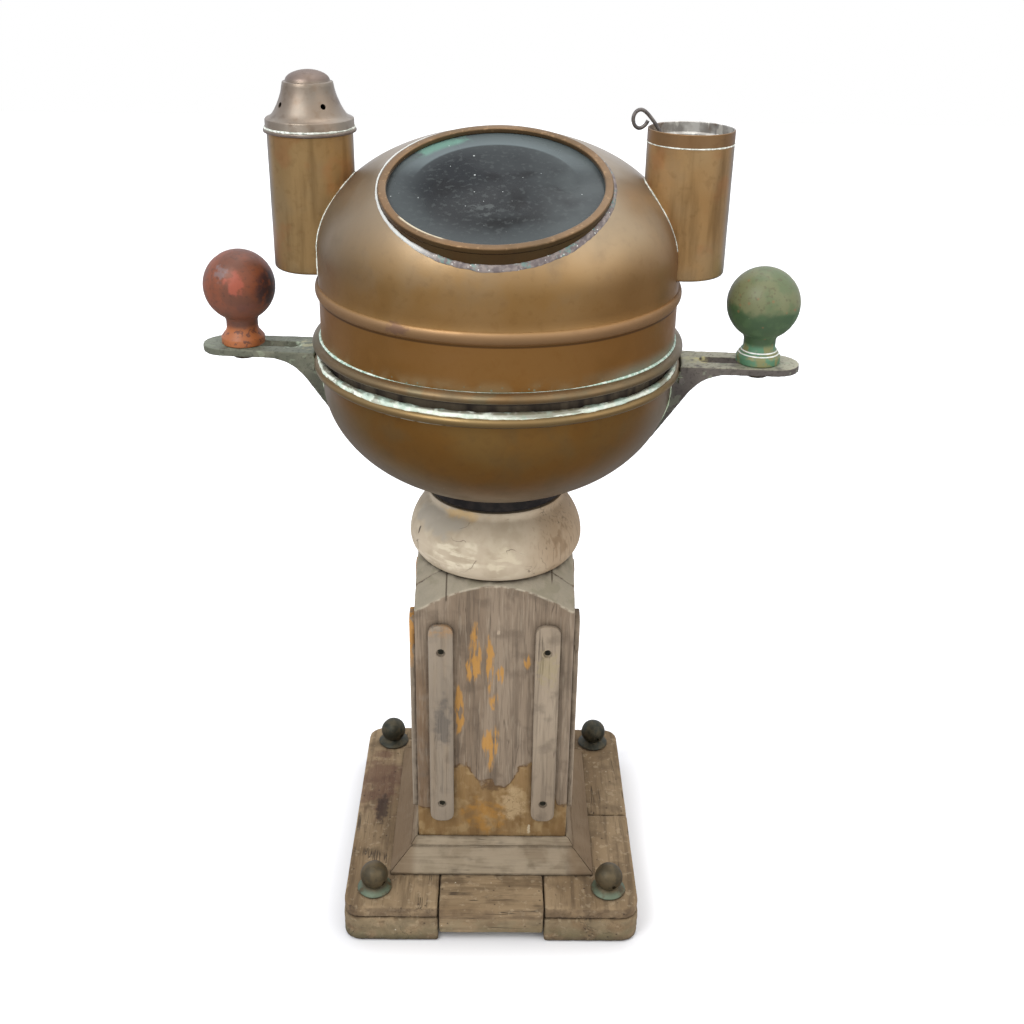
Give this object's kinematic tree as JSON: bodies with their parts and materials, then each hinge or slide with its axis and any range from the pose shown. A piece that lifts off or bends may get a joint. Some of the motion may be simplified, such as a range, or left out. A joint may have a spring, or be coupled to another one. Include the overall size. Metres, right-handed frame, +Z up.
{
  "type": "binnacle compass",
  "caption": "Pedestal binnacle: gimballed compass in a spun brass bowl under a lift-off hood with side lamps, corrector balls on slotted arms, and a square wooden pedestal.",
  "frame": {"origin": "on the floor under the column's axis, in the plane of the bearers' undersides", "axes": "+Z up; -Y towards the helmsman, the side the viewing window tilts to; +X to starboard, with the green ball. The head is turned 4.22 degrees clockwise on the pedestal, seen from above."},
  "size_m": [0.6402, 0.3914, 0.9557],
  "materials": {
    "base_wood": "weathered oak, warm brown, cracked",
    "column_wood": "weathered grey-brown with remains of ochre varnish",
    "batten_wood": "weathered light grey",
    "collar_wood": "pale grey-beige, turned smooth",
    "nut_bronze": "dark olive bronze patina",
    "black_iron": "black paint",
    "aged_brass": "aged brown-gold patina, satin",
    "tinned_brass": "tinned inside, dull",
    "bracket_bronze": "grey-green cast bronze",
    "window_glass": "old clouded pane",
    "wire_steel": "dark grey wire",
    "ball_red": "worn red paint on iron",
    "ball_green": "worn green paint on iron",
    "gimbal_brass": "dull brass",
    "card_paper": "aged white card",
    "magnet_steel": "blued steel"
  },
  "bodies": {
    "pedestal": {"bearer_left": "base_wood", "bearer_right": "base_wood", "top_board_left": "base_wood", "top_board_right_front": "base_wood", "top_board_right_back": "base_wood", "base_middle_board": "base_wood", "moulding_front": "column_wood", "moulding_right": "column_wood", "moulding_back": "column_wood", "moulding_left": "column_wood", "column_front": "column_wood", "column_back": "column_wood", "column_left": "column_wood", "column_right": "column_wood", "batten_front_a": "batten_wood", "batten_front_b": "batten_wood", "batten_right_a": "batten_wood", "batten_right_b": "batten_wood", "batten_back_a": "batten_wood", "batten_back_b": "batten_wood", "batten_left_a": "batten_wood", "batten_left_b": "batten_wood", "collar": "collar_wood", "neck_ring": "black_iron", "head_pivot_bolt": "bracket_bronze", "deck_nut_left_front": "nut_bronze", "deck_nut_left_back": "nut_bronze", "deck_nut_right_front": "nut_bronze", "deck_nut_right_back": "nut_bronze"},
    "head": {"bowl_shell": "aged_brass", "bracket_left": "bracket_bronze", "bracket_right": "bracket_bronze", "gimbal_bearing_front": "gimbal_brass", "gimbal_bearing_back": "gimbal_brass"},
    "hood": {"hood_shell": "aged_brass", "hood_rim_band": "aged_brass", "window_collar": "aged_brass", "window_bezel": "aged_brass", "window_glass": "window_glass", "lamp_tube_left": "aged_brass", "lamp_tube_right": "aged_brass"},
    "lamp_left": {"lamp_body_left": "aged_brass", "burner_left": "gimbal_brass"},
    "lamp_cap": {"lamp_cap_left": "aged_brass"},
    "lamp_right": {"lamp_body_right": "tinned_brass", "burner_right": "gimbal_brass", "lamp_loop_right": "wire_steel"},
    "corrector_left": {"corrector_ball_left": "ball_red", "corrector_nut_left": "bracket_bronze"},
    "corrector_right": {"corrector_ball_right": "ball_green", "corrector_nut_right": "bracket_bronze"},
    "gimbal": {"gimbal_ring": "gimbal_brass"},
    "compass": {"compass_bowl": "gimbal_brass", "compass_glass": "window_glass", "compass_bezel": "gimbal_brass", "card_pivot": "gimbal_brass", "lubber_line": "black_iron"},
    "card": {"compass_card": "card_paper", "card_magnet_left": "magnet_steel", "card_magnet_right": "magnet_steel"}
  },
  "joints": [
    {"name": "head_turn", "type": "hinge", "parent": "pedestal", "child": "head", "pos_m": [0, 0, 0.52], "axis": [0, 0, 1], "range_deg": [-5.8, 14.2]},
    {"name": "hood_lift", "type": "slide", "parent": "head", "child": "hood", "axis": [0, 0, 1], "range_m": [0, 0.3]},
    {"name": "lamp_left_lift", "type": "slide", "parent": "hood", "child": "lamp_left", "axis": [0, 0, 1], "range_m": [0, 0.16]},
    {"name": "lamp_right_lift", "type": "slide", "parent": "hood", "child": "lamp_right", "axis": [0, 0, 1], "range_m": [0, 0.16]},
    {"name": "cap_lift", "type": "slide", "parent": "lamp_left", "child": "lamp_cap", "axis": [0, 0, 1], "range_m": [0, 0.05]},
    {"name": "corrector_left_slide", "type": "slide", "parent": "head", "child": "corrector_left", "axis": [-0.9973, 0.0736, 0], "range_m": [-0.012, 0.014]},
    {"name": "corrector_right_slide", "type": "slide", "parent": "head", "child": "corrector_right", "axis": [0.9973, -0.0736, 0], "range_m": [-0.012, 0.014]},
    {"name": "gimbal_roll", "type": "hinge", "parent": "head", "child": "gimbal", "pos_m": [0, 0, 0.656], "axis": [0.0736, 0.9973, 0], "range_deg": [-25, 25]},
    {"name": "gimbal_pitch", "type": "hinge", "parent": "gimbal", "child": "compass", "pos_m": [0, 0, 0.656], "axis": [0.9973, -0.0736, 0], "range_deg": [-25, 25]},
    {"name": "card_turn", "type": "hinge", "parent": "compass", "child": "card", "pos_m": [0, 0, 0.651], "axis": [0, 0, 1], "continuous": true}
  ]
}
